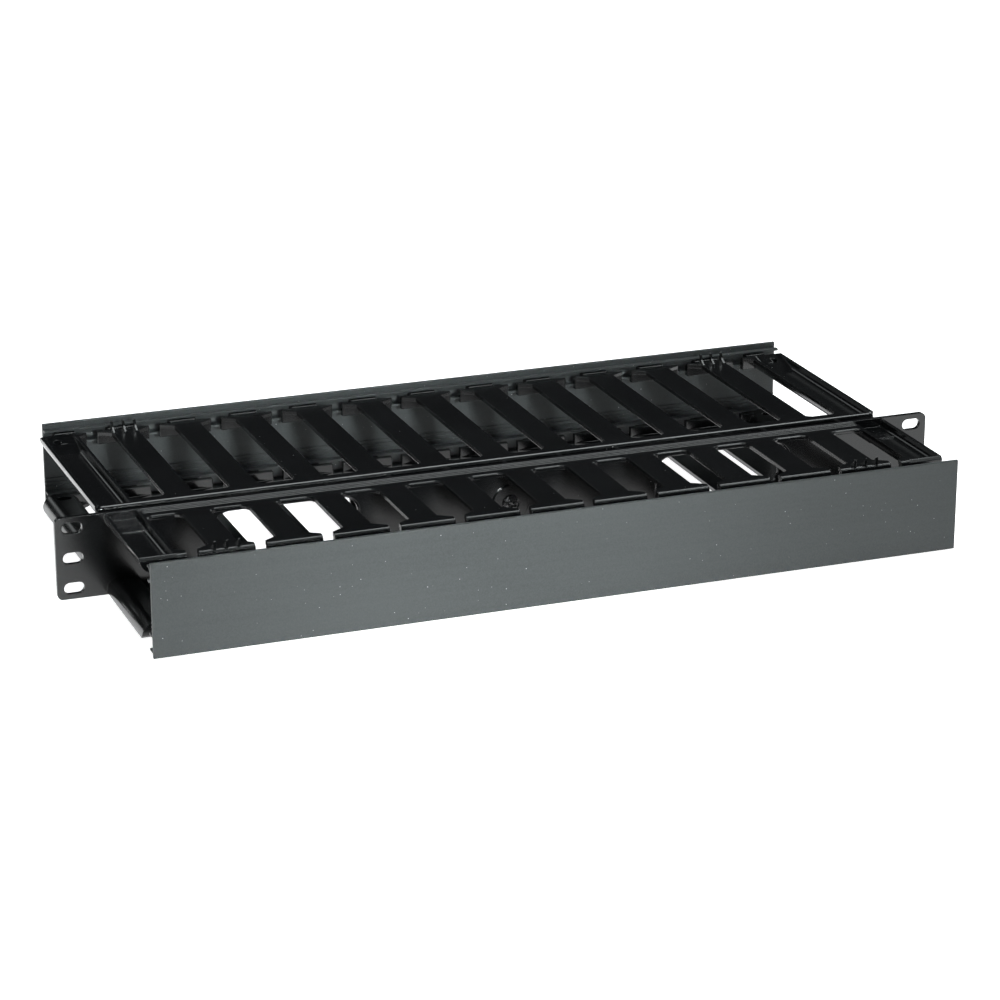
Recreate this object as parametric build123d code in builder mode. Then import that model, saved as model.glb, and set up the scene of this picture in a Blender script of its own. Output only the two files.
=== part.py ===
from build123d import *
import os
from math import asin, cos, degrees, radians, sin, sqrt, tan

# Double-sided horizontal cable manager for a 19 inch rack, two units high.
# The origin is the centre of the rack slots, on the back face of the ears.
# +X runs along the ears, +Y to the rear of the rack and +Z up.
# All lengths are in millimetres and all angles in degrees.

# Ears and web, one flat plate
rack_width = 482.6
plate_thickness = 2.5
plate_corner = 3.0
slot_edge = 8.75
slot_rise = 15.875
slot_length = 10.5
slot_width = 6.0
ear_width = 25.3

# Channel section
channel_height = 41.2
wall = 2.2
lip_rise = 1.0
lip_depth = 4.5
lip_steps = 3
front_depth = 67.0
rear_depth = 120.4
rear_flank = 1.0
rear_corner = 3.0

# Fingers and the gaps between them
gap_columns = 12
gap_width = 20.0
gap_corner = 4.5
corner_steps = 3
gap_bevel = 0.7
end_gap_reach = 8.0
front_root = 9.5
rear_root = 6.5
tip_slot = 6.0
front_head = 4.0
front_flare = 4.5
rear_head = 3.0
rear_flare = 3.8
tip_wall = 3.2
nose_radius = 2.5
rear_nose_bevel = 1.6

# End fingers, each a trough that is open to the outside
end_finger_width = 18.8
trough_depth = 4.4
trough_floor = 3.5
trough_wall = 1.8
trough_corner = 7.0
trough_fillet = 2.5
trough_end = 2.5
pad_length = 18.0
pad_rise = 0.6
scoop_length = 19.4
scoop_top = 1.5
eye_length = 8.0
eye_width = 5.0
eye_inset = 8.4

# Fins on the finger next to each end finger
fin_thickness = 1.2
fin_pitch = 6.2
fin_length = 5.5
fin_waist = 0.4
front_fin_height = 4.0
front_fin_set = 0.8
rear_fin_height = 5.4
rear_fin_set = 2.7

# Beads that the covers hook onto, and the necks that carry them
bead_radius = 3.2
bead_sides = 8
bead_drop = 3.0
neck_thickness = 1.7
neck_drop = 3.2
front_reach = 12.85
sweep_clearance = 0.35
cover_travel = 90.0

# Covers
cover_thickness = 2.0
cover_overhang = 3.8
cover_inset = 0.75
cover_edge = 0.6
clip_clearance = 0.1
clip_wall = 1.1
clip_skin = 0.05
mouth_margin = 6.0
prong_clearance = 0.3
prong_thickness = 1.0
prong_reach = 1.8
ridge_height = 0.8
ridge_depth = 0.7
ridge_places = [-6.4, -8.6, -10.8]
rear_cover_slide = 2.0

# Pass-through holes in the web and the rear channel's wall
pass_centre = 121.5
pass_width = 77.0
pass_height = 28.4
pass_corner = 9.0
pass_lip = 1.0

# Ribs between the web and the rear channel
rib_depth = 10.0
rib_thickness = 1.5
rib_inset = 0.8
rib_places = [0.0, 31.2, 63.5, 97.4, 123.3, 149.1, 193.0]

# Screw that joins the two channels, in a boss at the centre of the web
screw_radius = 2.0
screw_clearance = 0.2
thread_clearance = 0.05
head_radius = 4.5
head_height = 2.4
boss_radius = 10.0
boss_height = 1.0
boss_wall = 2.4

# Heights that follow from the channel section
top = channel_height / 2
bead_z = top - bead_drop
neck_z = bead_z - neck_drop
tip_bottom = neck_z - neck_thickness / 2
trough_under = top - trough_depth - trough_floor
plate_height = channel_height + 2 * lip_rise
beyond = 2 * top

# Widths that follow from the rack
half_width = rack_width / 2 - ear_width
end_inner = half_width - end_finger_width
gap_pitch = 2 * (end_inner - end_gap_reach) / (gap_columns - 1)
rail_half = half_width - trough_corner - neck_thickness / 2
slot_spacing = rack_width - 2 * slot_edge
cover_width = 2 * (half_width - cover_inset)

# Depths, from the back face of the ears
plate_front = -plate_thickness
front_nose = plate_front - front_depth
rear_front = rib_depth
rear_inner = rear_front + wall
rear_nose = rear_front + rear_depth

# Hinge clips and beads
clip_bore = bead_radius + clip_clearance
clip_outer = clip_bore + clip_wall
cover_stand = clip_bore + clip_skin
rear_reach = clip_outer + sweep_clearance
neck_angle = cover_travel / 2
neck_half_angle = degrees(asin(neck_thickness / 2 / clip_bore))
mouth_angle = neck_angle + neck_half_angle + mouth_margin
front_bead = front_nose - front_reach
rear_bead = rear_nose + rear_reach


def blunt(radius):
    """Two chamfers, one after the other, that round a square corner with three flats."""
    return radius * (2 - sqrt(2)), radius * (tan(radians(22.5)) - tan(radians(11.25)))


def corner_points(corner, before, after):
    """A gap's rounded corner as a few flats. before and after point along its two sides."""
    step = 90 / corner_steps
    reach = gap_corner / cos(radians(step / 2))
    points = []
    for k in range(corner_steps):
        angle = radians((k + 0.5) * step)
        x, y = (
            corner[axis]
            + gap_corner * (before[axis] + after[axis])
            - reach * (after[axis] * cos(angle) + before[axis] * sin(angle))
            for axis in (0, 1)
        )
        points.append((x, y))
    return points


def rail_section(root, nose, outward, bead):
    """Section of the upper and lower rows of fingers, with tip wall, neck and bead.

    outward is -1 for the front channel and 1 for the rear one.
    """
    bend = bead - outward * neck_drop / tan(radians(neck_angle))
    half = neck_thickness / 2
    rise = radians(neck_angle)
    # Offsets of the neck's two sides at the mitred bend and at the bead
    mitre = (outward * half * tan(rise / 2), half)
    side = (outward * half * sin(rise), half * cos(rise))
    level = nose - outward * tip_wall / 2
    with BuildSketch(Plane.YZ) as section:
        with Locations(((root + nose) / 2, top - wall / 2)):
            Rectangle(abs(nose - root), wall)
        with Locations((nose - outward * tip_wall / 2, (top + tip_bottom) / 2)):
            Rectangle(tip_wall, top - tip_bottom)
        outer = section.vertices().group_by(Axis.Y)[-1].sort_by(Axis.X)
        if outward < 0:
            first, second = blunt(nose_radius)
            chamfer(outer[0], first)
            ends = section.vertices().filter_by_position(Axis.Y, top - first - 0.01, top + 0.01)
            chamfer(ends.filter_by_position(Axis.X, nose - 0.01, nose + first + 0.01), second)
        else:
            chamfer(outer[-1], rear_nose_bevel)
        with BuildLine():
            Polyline(
                (level, neck_z - half),
                (bend + mitre[0], neck_z - mitre[1]),
                (bead + side[0], bead_z - side[1]),
                (bead - side[0], bead_z + side[1]),
                (bend - mitre[0], neck_z + mitre[1]),
                (level, neck_z + half),
                close=True,
            )
        make_face()
        with Locations((bead, bead_z)):
            RegularPolygon(bead_radius, bead_sides)
        mirror(about=Plane.XZ)
    return section.sketch


def gap_row(root, flare_start, slot_start, nose, end):
    """Plan of all the gaps of one channel, each narrowing to a slot between two tips.

    Beyond the nose the gap has its full width again, so the beads are as wide as the fingers.
    """
    along = (0, 1 if end > root else -1)
    with BuildSketch(Plane.XY) as gaps:
        for column in range(gap_columns):
            centre = (column - (gap_columns - 1) / 2) * gap_pitch
            left = gap_width / 2 if column > 0 else end_gap_reach
            right = gap_width / 2 if column < gap_columns - 1 else end_gap_reach
            Polygon(
                *corner_points((centre - left, root), (1, 0), along),
                (centre - left, flare_start),
                (centre - tip_slot / 2, slot_start),
                (centre - tip_slot / 2, nose),
                (centre - left, nose),
                (centre - left, end),
                (centre + right, end),
                (centre + right, nose),
                (centre + tip_slot / 2, nose),
                (centre + tip_slot / 2, slot_start),
                (centre + right, flare_start),
                *corner_points((centre + right, root), along, (-1, 0)),
                align=None,
            )
    return gaps.sketch


def trough(start, stop, outer, scooped):
    """End finger at the right and top, a bar with a trough in its outside, and the trough's hollow."""
    outward = 1 if stop > start else -1
    centre = (end_inner + outer) / 2
    width = outer - end_inner - 2 * trough_wall
    floor = top - trough_depth
    with BuildPart() as pocket:
        with BuildSketch(Plane.YZ.offset(end_inner + trough_wall)):
            if scooped:
                rim = stop - outward * scoop_top
                foot = rim - outward * scoop_length
                rise = trough_depth + beyond
                far = foot + outward * scoop_length * rise / trough_depth
                Polygon((start, floor + rise), (start, floor), (foot, floor), (far, floor + rise), align=None)
            else:
                far = stop - outward * trough_end
                Polygon((start, beyond), (start, floor), (far, floor), (far, beyond), align=None)
        extrude(amount=width)
        lowest = pocket.edges().filter_by(Axis.X, reverse=True)
        sides = lowest.filter_by_position(Axis.Z, floor - 0.1, floor + trough_depth + beyond / 2)
        fillet(sides.filter_by(Axis.Z, reverse=True), trough_fillet)
    with BuildPart() as finger:
        with BuildSketch(Plane.XZ.offset(-start)) as bar:
            with Locations((centre, (top + trough_under) / 2)):
                Rectangle(outer - end_inner, top - trough_under)
            fillet(bar.vertices().group_by(Axis.Y)[0], trough_corner)
        extrude(amount=start - stop)
        tip = finger.faces().sort_by(Axis.Y)[-1 if outward > 0 else 0]
        if scooped:
            chamfer(tip.edges().sort_by(Axis.Z)[-1], rear_nose_bevel)
        else:
            chamfer(tip.edges().sort_by(Axis.Z)[-1], blunt(nose_radius)[0])
        add(pocket.part, mode=Mode.SUBTRACT)
        if scooped:
            # The eye through the scoop
            with BuildSketch(Plane.XY.offset(trough_under - wall)):
                with Locations((centre, stop - outward * eye_inset)):
                    SlotOverall(eye_length, eye_width)
            extrude(amount=beyond, mode=Mode.SUBTRACT)
        else:
            # Low pad on the trough's floor, next to the ear plate
            with BuildSketch(Plane.XY.offset(floor - trough_floor / 2)):
                with Locations((centre, start + outward * pad_length / 2)):
                    Rectangle(width, pad_length)
            extrude(amount=trough_floor / 2 + pad_rise)
    return finger.part, pocket.part


def fin_set(upright, outward, height):
    """Three thin upright fins on the finger next to the right end finger, at the top."""
    middle = (gap_columns - 2) / 2 * gap_pitch
    with BuildPart() as fins:
        for place in (-1, 0, 1):
            with BuildSketch(Plane.YZ.offset(middle + place * fin_pitch - fin_thickness / 2)):
                Polygon(
                    (upright, top - wall / 2),
                    (upright, top + height),
                    (upright - outward * fin_length * fin_waist, top + height * fin_waist),
                    (upright - outward * fin_length, top),
                    (upright - outward * fin_length, top - wall / 2),
                    align=None,
                )
            extrude(amount=fin_thickness)
    return fins.part


def four_ways(piece):
    """The piece at the right and top, with its copies at the left and at the bottom."""
    with BuildPart() as copies:
        add(piece)
        mirror(about=Plane.YZ)
        mirror(about=Plane.XY)
    return copies.part


def pass_holes():
    """Plan of the two pass-through holes, seen along Y."""
    with BuildSketch(Plane.XZ) as holes:
        with Locations((-pass_centre, 0), (pass_centre, 0)):
            RectangleRounded(pass_width, pass_height, pass_corner)
    return holes.sketch


def bevel_gap_ends(builder, low, high):
    """Small bevel around the closed ends of the gaps, on the outside, between two depths."""
    edges = builder.edges().filter_by_position(Axis.Y, low - 0.01, high + 0.01)
    edges = edges.filter_by_position(Axis.X, -end_inner - 0.1, end_inner + 0.1)
    upper = edges.filter_by_position(Axis.Z, top - 0.01, top + 0.01)
    lower = edges.filter_by_position(Axis.Z, -top - 0.01, -top + 0.01)
    chamfer(upper + lower, gap_bevel)


front_rails = rail_section(plate_front, front_nose, -1, front_bead)
rear_rails = rail_section(rear_front, rear_nose, 1, rear_bead)
front_slot_start = front_nose + front_head
front_flare_start = front_slot_start + front_flare
rear_slot_start = rear_nose - rear_head
rear_flare_start = rear_slot_start - rear_flare
front_gap_root = plate_front - front_root
front_gap_end = front_bead - beyond
front_gaps = gap_row(front_gap_root, front_flare_start, front_slot_start, front_nose, front_gap_end)
rear_gap_root = rear_front + rear_root
rear_gap_end = rear_bead + beyond
rear_gaps = gap_row(rear_gap_root, rear_flare_start, rear_slot_start, rear_nose, rear_gap_end)
front_trough, front_pocket = trough(plate_front, front_nose, half_width, False)
rear_trough, rear_pocket = trough(rear_inner, rear_nose, half_width + rear_flank, True)
front_fins = four_ways(fin_set(front_nose + front_fin_set, -1, front_fin_height))
rear_fins = four_ways(fin_set(rear_nose - rear_fin_set, 1, rear_fin_height))
holes = pass_holes()

# Front channel: ears, web, fingers and ribs in one moulding
with BuildPart() as front_channel:
    extrude(front_rails, amount=rail_half, both=True)
    extrude(front_gaps, amount=beyond, both=True, mode=Mode.SUBTRACT)
    bevel_gap_ends(front_channel, front_gap_root - gap_corner, front_gap_root)
    add(four_ways(front_pocket), mode=Mode.SUBTRACT)
    add(four_ways(front_trough))
    add(front_fins)
    with BuildSketch(Plane.XZ):
        RectangleRounded(rack_width, plate_height, plate_corner)
        with GridLocations(slot_spacing, slot_rise, 2, 3):
            SlotOverall(slot_length, slot_width, mode=Mode.SUBTRACT)
    extrude(amount=plate_thickness)
    # Low stepped lip where the fingers meet the plate
    tread = lip_depth / lip_steps
    riser = lip_rise / (lip_steps + 1)
    lip_points = [(plate_front, top - wall / 2), (plate_front - lip_depth, top - wall / 2)]
    for step in range(lip_steps):
        edge = plate_front - lip_depth + step * tread
        lip_points.append((edge, top + step * riser))
        lip_points.append((edge + riser, top + (step + 1) * riser))
    lip_points.append((plate_front, top + lip_steps * riser))
    with BuildSketch(Plane.YZ):
        Polygon(*lip_points, align=None)
        mirror(about=Plane.XZ)
    extrude(amount=end_inner, both=True)
    # Ribs behind the web
    with BuildSketch(Plane.XZ):
        for place in rib_places:
            with Locations((place, 0), (-place, 0)):
                Rectangle(rib_thickness, 2 * (top - rib_inset))
        Circle(screw_radius + screw_clearance + boss_wall)
    extrude(amount=-rib_depth)
    # Pass-through holes
    extrude(holes, amount=beyond, both=True, mode=Mode.SUBTRACT)
    web_edges = front_channel.edges().filter_by_position(Axis.Y, plate_front - 0.01, plate_front + 0.01)
    web_edges = web_edges.filter_by_position(Axis.Z, -pass_height / 2 - 0.01, pass_height / 2 + 0.01)
    left_lip = web_edges.filter_by_position(
        Axis.X, -pass_centre - pass_width / 2 - 0.01, -pass_centre + pass_width / 2 + 0.01
    )
    right_lip = web_edges.filter_by_position(
        Axis.X, pass_centre - pass_width / 2 - 0.01, pass_centre + pass_width / 2 + 0.01
    )
    chamfer(left_lip + right_lip, pass_lip)
    # Boss for the joining screw, with a rib that runs up from it
    with BuildSketch(Plane.XZ.offset(plate_thickness)):
        Circle(boss_radius)
        with Locations((0, (boss_radius + top - wall) / 2)):
            Rectangle(rib_thickness, top - wall - boss_radius + 2 * boss_height)
    extrude(amount=boss_height)
    with BuildSketch(Plane.XZ):
        Circle(screw_radius + screw_clearance)
    extrude(amount=beyond, both=True, mode=Mode.SUBTRACT)

# Rear channel: front wall and fingers in one moulding
with BuildPart() as rear_channel:
    extrude(rear_rails, amount=rail_half, both=True)
    extrude(rear_gaps, amount=beyond, both=True, mode=Mode.SUBTRACT)
    bevel_gap_ends(rear_channel, rear_gap_root, rear_gap_root + gap_corner)
    add(four_ways(rear_pocket), mode=Mode.SUBTRACT)
    add(four_ways(rear_trough))
    add(rear_fins)
    with BuildSketch(Plane.XZ.offset(-rear_front)):
        RectangleRounded(2 * (half_width + rear_flank), channel_height, rear_corner)
    extrude(amount=-wall)
    outer_corner = rear_channel.edges().filter_by(Axis.X).filter_by_position(
        Axis.Y, rear_front - 0.01, rear_front + 0.01
    )
    fillet(outer_corner.filter_by(lambda edge: abs(abs(edge.center().Z) - top) < 0.01), wall - 0.2)
    extrude(holes, amount=-beyond, mode=Mode.SUBTRACT)
    with BuildSketch(Plane.XZ):
        Circle(screw_radius + thread_clearance)
    extrude(amount=-beyond, mode=Mode.SUBTRACT)

# Screw with a pan head, seated on the boss
with BuildPart() as joining_screw:
    with BuildSketch(Plane.XZ.offset(plate_thickness + boss_height)):
        Circle(head_radius)
    extrude(amount=head_height)
    chamfer(joining_screw.edges().sort_by(Axis.Y)[0], head_height * 0.4)
    with BuildSketch(Plane.XZ.offset(plate_thickness + boss_height)):
        Circle(screw_radius)
    extrude(amount=-(plate_thickness + boss_height + rear_inner))


def cover_section(bead, outward, slide):
    """Section of a cover: plate, hinge clip at the top and straight prongs at the bottom."""
    inner = bead + outward * cover_stand
    height = channel_height + 2 * cover_overhang
    ray = 2 * clip_outer
    with BuildSketch(Plane.YZ.offset(slide)) as section:
        with Locations((bead, bead_z)):
            Circle(clip_outer)
        with BuildLine():
            Polyline(
                (bead, bead_z),
                (bead - outward * ray * cos(radians(mouth_angle)), bead_z + ray * sin(radians(mouth_angle))),
                (bead - outward * 2 * ray, bead_z + ray),
                (bead - outward * 2 * ray, bead_z - ray),
                (bead - outward * ray * cos(radians(mouth_angle)), bead_z - ray * sin(radians(mouth_angle))),
                close=True,
            )
        make_face(mode=Mode.SUBTRACT)
        with Locations((inner + outward * cover_thickness / 2, 0)):
            RectangleRounded(cover_thickness, height, cover_edge)
        # Low ridges along the inside, above the prongs
        for level in ridge_places:
            with Locations((inner, level)):
                Rectangle(2 * ridge_depth, ridge_height)
        for turn in (-1, 1):
            level = -bead_z + turn * (bead_radius + prong_clearance + prong_thickness / 2)
            root = inner + outward * cover_thickness / 2
            tip = bead - outward * prong_reach
            with Locations(((root + tip) / 2, level)):
                Rectangle(abs(root - tip), prong_thickness)
        with Locations((bead, bead_z)):
            Circle(clip_bore, mode=Mode.SUBTRACT)
    return section.sketch


front_cover_section = cover_section(front_bead, -1, 0)
rear_cover_section = cover_section(rear_bead, 1, rear_cover_slide)

with BuildPart() as front_cover:
    extrude(front_cover_section, amount=cover_width / 2, both=True)

with BuildPart() as rear_cover:
    extrude(rear_cover_section, amount=cover_width / 2, both=True)

front_channel.part.label = "front_channel"
rear_channel.part.label = "rear_channel"
joining_screw.part.label = "joining_screw"
front_cover.part.label = "front_cover"
rear_cover.part.label = "rear_cover"

os.makedirs("parts", exist_ok=True)
export_step(front_channel.part, "parts/front_channel.step")
export_step(rear_channel.part, "parts/rear_channel.step")
export_step(joining_screw.part, "parts/joining_screw.step")
export_step(front_cover.part, "parts/front_cover.step")
export_step(rear_cover.part, "parts/rear_cover.step")
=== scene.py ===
from math import cos, pi, sin

import bmesh
import bpy
from mathutils import Matrix, Vector


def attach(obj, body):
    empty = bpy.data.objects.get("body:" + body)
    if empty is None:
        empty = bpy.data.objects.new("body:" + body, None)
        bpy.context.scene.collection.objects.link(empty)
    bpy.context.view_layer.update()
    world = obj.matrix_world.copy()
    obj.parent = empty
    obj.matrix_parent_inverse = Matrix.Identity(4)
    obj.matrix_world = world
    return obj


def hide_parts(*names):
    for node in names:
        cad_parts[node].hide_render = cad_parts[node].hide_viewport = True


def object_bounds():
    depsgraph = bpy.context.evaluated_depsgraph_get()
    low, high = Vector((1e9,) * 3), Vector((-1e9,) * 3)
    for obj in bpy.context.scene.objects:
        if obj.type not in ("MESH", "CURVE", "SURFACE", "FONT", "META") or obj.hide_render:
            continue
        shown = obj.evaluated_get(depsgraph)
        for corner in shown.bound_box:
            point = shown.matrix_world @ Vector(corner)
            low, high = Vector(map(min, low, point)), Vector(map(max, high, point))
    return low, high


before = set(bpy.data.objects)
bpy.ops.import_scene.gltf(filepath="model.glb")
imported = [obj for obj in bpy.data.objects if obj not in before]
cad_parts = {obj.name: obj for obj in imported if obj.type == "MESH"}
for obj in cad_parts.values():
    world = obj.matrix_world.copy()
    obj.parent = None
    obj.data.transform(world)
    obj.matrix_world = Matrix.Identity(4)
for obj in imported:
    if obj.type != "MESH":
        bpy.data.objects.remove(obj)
cad_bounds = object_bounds()

# Lengths are in metres, angles in radians and powers in watts. Colours are linear.
# A texture's scale and a density of specks are in cells per metre

# Camera, fitted to the edges of the ears, the fingers and the covers
CAMERA_PLACE = (-0.58774, -1.53195, 0.57935)
CAMERA_FORWARD = (0.3354, 0.8814, -0.3326)
CAMERA_RIGHT = (0.9346, -0.3557, 0.0)
CAMERA_LENS_MM = 120.28
CAMERA_SENSOR_MM = 36.0
CAMERA_FAR = 100.0

# Screw. The seat is the place along Y of the boss's face, which the head rests on. The flank is the
# head's straight side, and the rise is the height of its dome
HEAD_SEAT = -0.0035
HEAD_RADIUS = 0.0045
HEAD_FLANK = 0.0009
HEAD_RISE = 0.0015
HEAD_DOME_POWER = 3.2
HEAD_RINGS = 26
HEAD_SEGMENTS = 72
SHANK_RADIUS = 0.002
SHANK_LENGTH = 0.0157

# Cross recess in the head. A slope is how wide a sloping wall is, seen from the front
RECESS_HALF_WIDTH = 0.0007
RECESS_REACH = 0.0025
RECESS_SIDE_SLOPE = 0.0003
RECESS_END_SLOPE = 0.00048
RECESS_DEPTH = 0.0014
RECESS_TURN = 0.5

# Black moulding of the two channels
MOULDING_DARK = (0.0026, 0.0029, 0.0032, 1.0)
MOULDING_LIGHT = (0.0042, 0.0046, 0.005, 1.0)
MOULDING_IOR = 1.5
MOULDING_SPECULAR = 0.6

# Satin plastic of the two covers. The draw lines run along X
COVER_DARK = (0.034, 0.038, 0.0385, 1.0)
COVER_LIGHT = (0.045, 0.0495, 0.05, 1.0)
COVER_STREAK = (0.064, 0.069, 0.07, 1.0)
COVER_LINE_SCALE = (2.0, 420.0, 420.0)
COVER_CLOUD_SCALE = (6.0, 14.0, 14.0)
COVER_IOR = 1.48
COVER_SPECULAR = 0.28

# Black oxide of the screw
STEEL_DARK = (0.09, 0.09, 0.092, 1.0)
STEEL_LIGHT = (0.16, 0.16, 0.162, 1.0)
STEEL_METALLIC = 0.8

# Edges that look rounded
PLASTIC_EDGE_RADIUS = 0.0006
STEEL_EDGE_RADIUS = 0.0003
EDGE_SAMPLES = 6

# Dust. A speck's size is a share of its cell. It is brightest in its core, and some cells have none
SPECK_GREY = (0.5, 0.51, 0.51, 1.0)
SPECK_CORE = 0.6
SPECK_BARE_CELLS = 0.35

# Floor
FLOOR_LOW = (-9.0, -6.0)
FLOOR_HIGH = (9.0, 16.0)
FLOOR_GAP = 0.0002
FLOOR_WHITE = (0.85, 0.85, 0.85, 1.0)
FLOOR_SHADE = (0.82, 0.82, 0.82, 1.0)
FLOOR_ROUGHNESS = 0.9
FLOOR_SPECULAR = 0.1
FLOOR_GLOW_COLOUR = (1.0, 1.0, 1.0, 1.0)
FLOOR_GLOW = 1.0

# Light
LIGHT_COLOUR = (0.94, 1.0, 1.0)
WORLD_COLOUR = (0.9, 0.95, 1.0, 1.0)
WORLD_STRENGTH = 0.024


def new_material(name):
    """A material with its node tree, its shader and the object coordinates."""
    material = bpy.data.materials.new(name)
    material.use_nodes = True
    tree = material.node_tree
    shader = tree.nodes["Principled BSDF"]
    place = tree.nodes.new("ShaderNodeTexCoord")
    return material, tree, shader, place.outputs["Object"]


def stretched(tree, vector, scale):
    """The coordinates times a scale on each axis."""
    mapping = tree.nodes.new("ShaderNodeMapping")
    mapping.inputs["Scale"].default_value = scale
    tree.links.new(vector, mapping.inputs["Vector"])
    return mapping.outputs["Vector"]


def noise(tree, vector, scale, detail):
    """Soft cloudy values from 0 to 1."""
    node = tree.nodes.new("ShaderNodeTexNoise")
    node.inputs["Scale"].default_value = scale
    node.inputs["Detail"].default_value = detail
    tree.links.new(vector, node.inputs["Vector"])
    return node.outputs["Fac"]


def ramp(tree, factor, low, high, start=0.0, end=1.0):
    """The factor from low to high turned into a value from start to end."""
    node = tree.nodes.new("ShaderNodeMapRange")
    node.inputs["From Min"].default_value = low
    node.inputs["From Max"].default_value = high
    node.inputs["To Min"].default_value = start
    node.inputs["To Max"].default_value = end
    tree.links.new(factor, node.inputs["Value"])
    return node.outputs["Result"]


def blend_colours(tree, factor, first, second):
    """The first colour at factor 0 and the second at 1, each a colour or a socket."""
    node = tree.nodes.new("ShaderNodeMix")
    node.data_type = "RGBA"
    tree.links.new(factor, node.inputs["Factor"])
    for value, socket in ((first, node.inputs["A"]), (second, node.inputs["B"])):
        if isinstance(value, tuple):
            socket.default_value = value
        else:
            tree.links.new(value, socket)
    return node.outputs["Result"]


def specks(tree, vector, density, size):
    """Up to 1 in small scattered dots of dust, some faint and some bright, and 0 elsewhere."""
    cells = tree.nodes.new("ShaderNodeTexVoronoi")
    cells.inputs["Scale"].default_value = density
    tree.links.new(vector, cells.inputs["Vector"])
    parts = tree.nodes.new("ShaderNodeSeparateColor")
    tree.links.new(cells.outputs["Color"], parts.inputs["Color"])
    dots = ramp(tree, cells.outputs["Distance"], low=size, high=size * SPECK_CORE)
    brightness = ramp(tree, parts.outputs["Red"], low=SPECK_BARE_CELLS, high=1.0)
    product = tree.nodes.new("ShaderNodeMath")
    product.operation = "MULTIPLY"
    tree.links.new(dots, product.inputs[0])
    tree.links.new(brightness, product.inputs[1])
    return product.outputs["Value"]


def soft_edges(tree, shader, height, strength, distance, radius):
    """Rounds the edges' shading by a radius and adds a fine bump."""
    bevel = tree.nodes.new("ShaderNodeBevel")
    bevel.samples = EDGE_SAMPLES
    bevel.inputs["Radius"].default_value = radius
    bump = tree.nodes.new("ShaderNodeBump")
    bump.inputs["Strength"].default_value = strength
    bump.inputs["Distance"].default_value = distance
    tree.links.new(height, bump.inputs["Height"])
    tree.links.new(bevel.outputs["Normal"], bump.inputs["Normal"])
    tree.links.new(bump.outputs["Normal"], shader.inputs["Normal"])


def black_moulding():
    """Glossy black moulded plastic, a little uneven, with a few specks of dust."""
    material, tree, shader, place = new_material("black_moulding")
    cloud = noise(tree, place, scale=28.0, detail=4.0)
    grain = noise(tree, place, scale=900.0, detail=3.0)
    dust = specks(tree, place, density=150.0, size=0.032)
    cloud_share = ramp(tree, cloud, low=0.3, high=0.7)
    tone = blend_colours(tree, cloud_share, MOULDING_DARK, MOULDING_LIGHT)
    tone = blend_colours(tree, dust, tone, SPECK_GREY)
    tree.links.new(tone, shader.inputs["Base Color"])
    roughness = ramp(tree, cloud, low=0.25, high=0.75, start=0.15, end=0.24)
    tree.links.new(roughness, shader.inputs["Roughness"])
    shader.inputs["IOR"].default_value = MOULDING_IOR
    shader.inputs["Specular IOR Level"].default_value = MOULDING_SPECULAR
    soft_edges(tree, shader, grain, strength=0.12, distance=0.0001, radius=PLASTIC_EDGE_RADIUS)
    return material


def satin_cover():
    """Dark grey extruded plastic, satin, with faint draw lines along it and pale dust."""
    material, tree, shader, place = new_material("satin_cover")
    lines = noise(tree, stretched(tree, place, COVER_LINE_SCALE), scale=1.0, detail=4.0)
    cloud = noise(tree, stretched(tree, place, COVER_CLOUD_SCALE), scale=1.0, detail=3.0)
    grain = noise(tree, place, scale=1500.0, detail=2.0)
    dust = specks(tree, place, density=290.0, size=0.075)
    cloud_share = ramp(tree, cloud, low=0.3, high=0.7)
    line_share = ramp(tree, lines, low=0.35, high=0.65, end=0.16)
    grain_share = ramp(tree, grain, low=0.3, high=0.7, end=0.45)
    tone = blend_colours(tree, cloud_share, COVER_DARK, COVER_LIGHT)
    tone = blend_colours(tree, line_share, tone, COVER_STREAK)
    tone = blend_colours(tree, grain_share, tone, COVER_STREAK)
    tone = blend_colours(tree, dust, tone, SPECK_GREY)
    tree.links.new(tone, shader.inputs["Base Color"])
    roughness = ramp(tree, lines, low=0.3, high=0.7, start=0.38, end=0.47)
    tree.links.new(roughness, shader.inputs["Roughness"])
    shader.inputs["IOR"].default_value = COVER_IOR
    shader.inputs["Specular IOR Level"].default_value = COVER_SPECULAR
    soft_edges(tree, shader, grain, strength=0.1, distance=0.00008, radius=PLASTIC_EDGE_RADIUS)
    return material


def black_steel():
    """Black oxide on steel, with light wear."""
    material, tree, shader, place = new_material("black_steel")
    cloud = noise(tree, place, scale=300.0, detail=4.0)
    cloud_share = ramp(tree, cloud, low=0.35, high=0.7)
    tone = blend_colours(tree, cloud_share, STEEL_DARK, STEEL_LIGHT)
    tree.links.new(tone, shader.inputs["Base Color"])
    roughness = ramp(tree, cloud, low=0.3, high=0.7, start=0.2, end=0.32)
    tree.links.new(roughness, shader.inputs["Roughness"])
    shader.inputs["Metallic"].default_value = STEEL_METALLIC
    soft_edges(tree, shader, cloud, strength=0.08, distance=0.0001, radius=STEEL_EDGE_RADIUS)
    return material


def dress(node, material):
    """Gives a CAD node its material in every slot."""
    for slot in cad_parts[node].material_slots:
        slot.material = material


def recess_depth(across, along):
    """How deep the cross recess is at a point of the head."""
    share = 0.0
    for near, far in ((abs(across), abs(along)), (abs(along), abs(across))):
        from_side = (RECESS_HALF_WIDTH - near) / RECESS_SIDE_SLOPE
        from_end = (RECESS_REACH - far) / RECESS_END_SLOPE
        share = max(share, min(1.0, from_side, from_end))
    return share * RECESS_DEPTH


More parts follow.
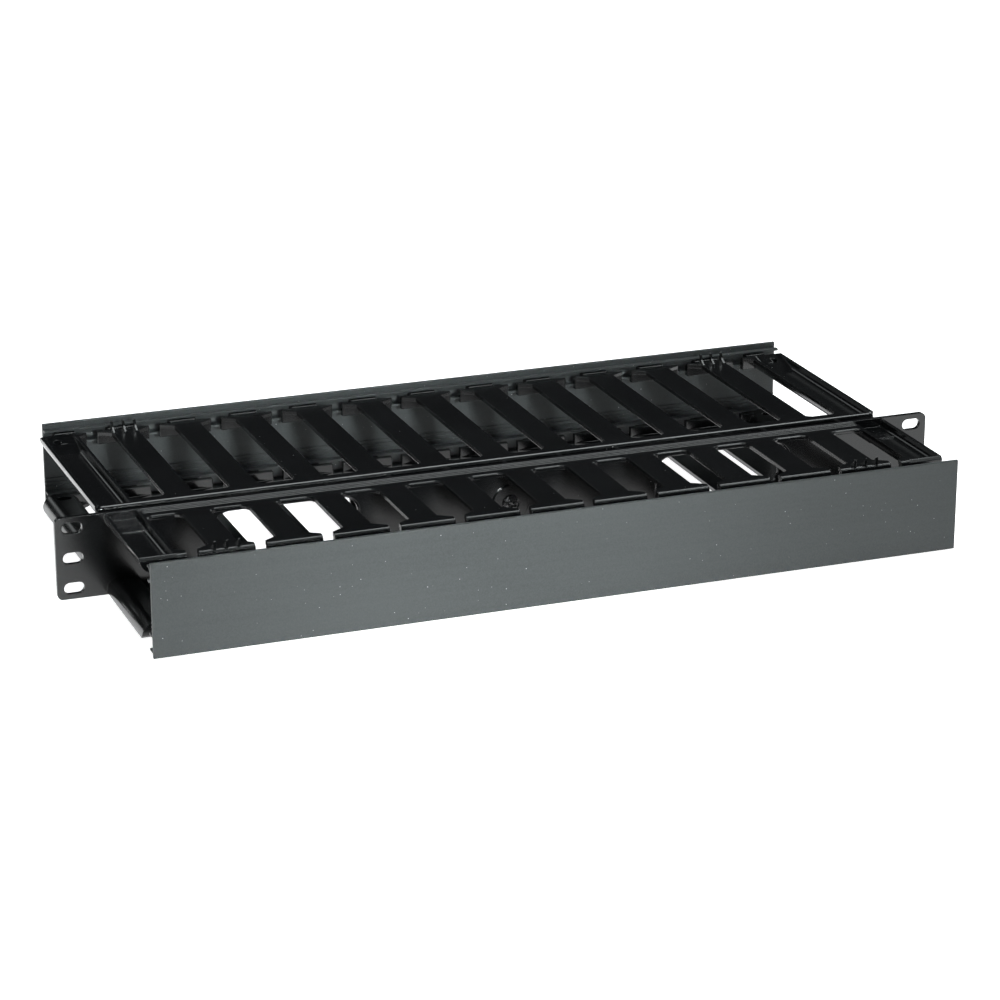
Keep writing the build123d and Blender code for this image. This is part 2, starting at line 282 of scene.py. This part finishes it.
def head_point(radius, angle):
    """A point of the head's domed face, with the recess cut into it."""
    share = radius / HEAD_RADIUS
    rise = HEAD_RISE * (1 - share ** HEAD_DOME_POWER) + HEAD_FLANK
    turned = angle + RECESS_TURN
    depth = recess_depth(radius * cos(turned), radius * sin(turned))
    return (radius * cos(angle), HEAD_SEAT - rise + depth, radius * sin(angle))


def make_screw(material):
    """The joining screw: a domed head with a cross recess, and a plain shank behind it."""
    shape = bmesh.new()
    angles = [2 * pi * k / HEAD_SEGMENTS for k in range(HEAD_SEGMENTS)]
    rings = []
    for k in range(1, HEAD_RINGS + 1):
        radius = HEAD_RADIUS * k / HEAD_RINGS
        rings.append([shape.verts.new(head_point(radius, angle)) for angle in angles])
    for radius, depth in ((HEAD_RADIUS, 0.0), (SHANK_RADIUS, 0.0), (SHANK_RADIUS, SHANK_LENGTH)):
        y = HEAD_SEAT + depth
        rings.append([shape.verts.new((radius * cos(angle), y, radius * sin(angle))) for angle in angles])
    for inner, outer in zip(rings, rings[1:]):
        for k in range(HEAD_SEGMENTS):
            after = (k + 1) % HEAD_SEGMENTS
            shape.faces.new((inner[k], outer[k], outer[after], inner[after]))
    middle = shape.verts.new(head_point(0.0, 0.0))
    first = rings[0]
    for k in range(HEAD_SEGMENTS):
        shape.faces.new((middle, first[k], first[(k + 1) % HEAD_SEGMENTS]))
    shape.faces.new(list(reversed(rings[-1])))
    bmesh.ops.recalc_face_normals(shape, faces=shape.faces)
    mesh = bpy.data.meshes.new("cross_screw")
    shape.to_mesh(mesh)
    shape.free()
    mesh.materials.append(material)
    screw = bpy.data.objects.new("cross_screw", mesh)
    bpy.context.scene.collection.objects.link(screw)
    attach(screw, "frame")
    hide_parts("joining_screw")


def floor_material():
    """The floor's pale material, which glows, so that the floor is white everywhere."""
    material, tree, shader, place = new_material("pale_floor")
    tone = blend_colours(tree, noise(tree, place, scale=2.0, detail=2.0), FLOOR_WHITE, FLOOR_SHADE)
    tree.links.new(tone, shader.inputs["Base Color"])
    shader.inputs["Roughness"].default_value = FLOOR_ROUGHNESS
    shader.inputs["Specular IOR Level"].default_value = FLOOR_SPECULAR
    shader.inputs["Emission Color"].default_value = FLOOR_GLOW_COLOUR
    shader.inputs["Emission Strength"].default_value = FLOOR_GLOW
    return material


def pale_floor():
    """A flat floor just under the part's lowest point."""
    level = cad_bounds[0][2] - FLOOR_GAP
    left, near = FLOOR_LOW
    right, far = FLOOR_HIGH
    shape = bmesh.new()
    corners = ((left, near), (right, near), (right, far), (left, far))
    shape.faces.new([shape.verts.new((x, y, level)) for x, y in corners])
    mesh = bpy.data.meshes.new("floor")
    shape.to_mesh(mesh)
    shape.free()
    mesh.materials.append(floor_material())
    floor = bpy.data.objects.new("floor", mesh)
    bpy.context.scene.collection.objects.link(floor)


def area_light(name, place, size, power, target=(0.0, 0.0, 0.0), spread=pi):
    """A soft rectangular light that points at a target."""
    data = bpy.data.lights.new(name, "AREA")
    data.shape = "RECTANGLE"
    data.size, data.size_y = size
    data.color = LIGHT_COLOUR
    data.energy = power
    data.spread = spread
    light = bpy.data.objects.new(name, data)
    bpy.context.scene.collection.objects.link(light)
    light.location = place
    aim = Vector(target) - Vector(place)
    light.rotation_euler = aim.to_track_quat("-Z", "Y").to_euler()


def dim_world():
    """A faint even light from all round."""
    world = bpy.data.worlds.new("studio")
    world.use_nodes = True
    background = world.node_tree.nodes["Background"]
    background.inputs["Color"].default_value = WORLD_COLOUR
    background.inputs["Strength"].default_value = WORLD_STRENGTH
    bpy.context.scene.world = world


def photo_camera():
    """The camera at the photograph's view."""
    data = bpy.data.cameras.new("camera")
    data.lens = CAMERA_LENS_MM
    data.sensor_width = CAMERA_SENSOR_MM
    data.clip_end = CAMERA_FAR
    camera = bpy.data.objects.new("camera", data)
    bpy.context.scene.collection.objects.link(camera)
    forward = Vector(CAMERA_FORWARD).normalized()
    right = Vector(CAMERA_RIGHT).normalized()
    up = right.cross(forward)
    turn = Matrix((right, up, -forward)).transposed()
    camera.matrix_world = Matrix.Translation(CAMERA_PLACE) @ turn.to_4x4()
    bpy.context.scene.camera = camera


# Pieces and their materials
moulding = black_moulding()
cover = satin_cover()
steel = black_steel()
dress("front_channel", moulding)
dress("rear_channel", moulding)
dress("front_cover", cover)
dress("rear_cover", cover)
dress("joining_screw", steel)
make_screw(steel)

# Floor, light and camera
pale_floor()
area_light("overhead", place=(0.5, -0.1, 2.0), size=(1.0, 1.5), power=31.0)
area_light("back_left", place=(-1.1, 2.6, 1.1), size=(1.0, 0.6), power=1.8)
area_light("back_right", place=(2.2, 1.6, 1.3), size=(1.2, 0.9), power=14.0, target=(0.0, 0.1, 0.0))
area_light("front_left", place=(-1.6, -2.2, 1.5), size=(1.6, 1.2), power=10.0)
area_light("front_middle", place=(-0.12, -1.6, 0.5), size=(0.25, 0.15), power=0.52,
           target=(-0.06, -0.05, 0.0), spread=0.35)
dim_world()
bpy.context.scene.view_settings.view_transform = "Standard"
photo_camera()
